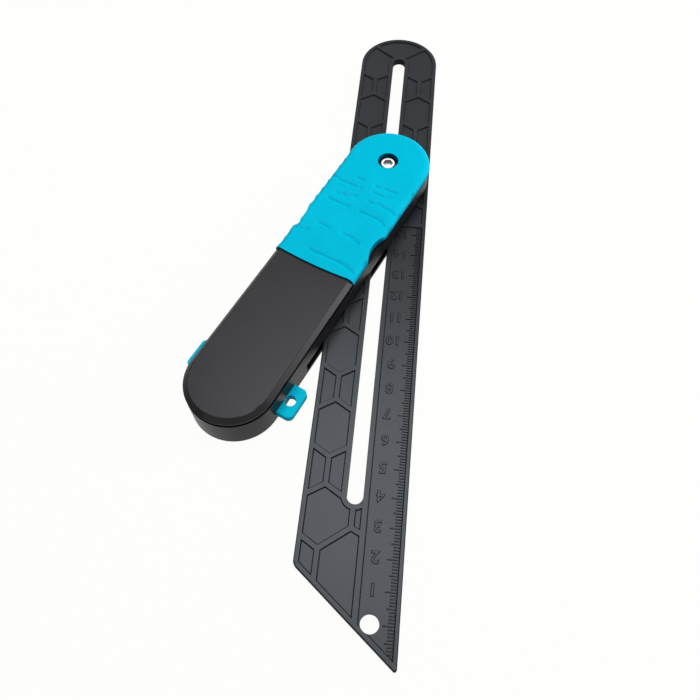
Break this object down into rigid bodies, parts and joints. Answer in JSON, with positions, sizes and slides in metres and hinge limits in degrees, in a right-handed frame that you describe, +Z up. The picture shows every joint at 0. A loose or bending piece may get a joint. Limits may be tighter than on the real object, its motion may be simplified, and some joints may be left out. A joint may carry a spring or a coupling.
{
  "type": "adjustable set square",
  "caption": "Flat black sliding bevel with a slotted ruled blade, a rounded handle with a turquoise grip cover, and screw ears at its butt",
  "frame": {"origin": "Under the middle of the whole object's box as it lies in the picture, on the surface that the handle rests on", "axes": "+Y along the blade, from its pointed tip to its round end; +Z up, out of the ruled face; +X to the ruled edge of the blade"},
  "size_m": [0.0836, 0.2814, 0.0189],
  "materials": {
    "blade_plastic": "dark grey, fine matt moulding with raised rims",
    "handle_plastic": "black, half gloss on top and glossy on the upright sides",
    "teal_plastic": "turquoise, satin",
    "inner_plastic": "pale, low friction, out of sight",
    "bright_steel": "zinc plated",
    "dark_steel": "blackened"
  },
  "bodies": {
    "handle": {"bottom_shell": "handle_plastic", "handle_frame": "handle_plastic", "top_plate": "handle_plastic", "grip_cover": "teal_plastic", "ear_bar": "teal_plastic", "head_washer": "bright_steel", "spring_washer": "bright_steel", "clamp_nut": "bright_steel", "shell_screws": "dark_steel", "frame_screws": "dark_steel"},
    "clamp": {"clamp_screw": "bright_steel"},
    "swivel": {"slot_bush": "inner_plastic", "lower_friction_washer": "inner_plastic", "upper_friction_washer": "inner_plastic"},
    "blade": {"blade": "blade_plastic"}
  },
  "joints": [
    {"name": "pivot_turn", "type": "hinge", "parent": "handle", "child": "swivel", "pos_m": [0.02426, 0.04906, 0.0052], "axis": [0, 0, 1], "range_deg": [-1.4, 133.6]},
    {"name": "blade_slide", "type": "slide", "parent": "swivel", "child": "blade", "axis": [0, 1, 0], "range_m": [-0.072, 0.1355]},
    {"name": "clamp_turn", "type": "hinge", "parent": "handle", "child": "clamp", "pos_m": [0.02426, 0.04906, 0.016], "axis": [0, 0, 1], "range_deg": [0, 270]}
  ]
}
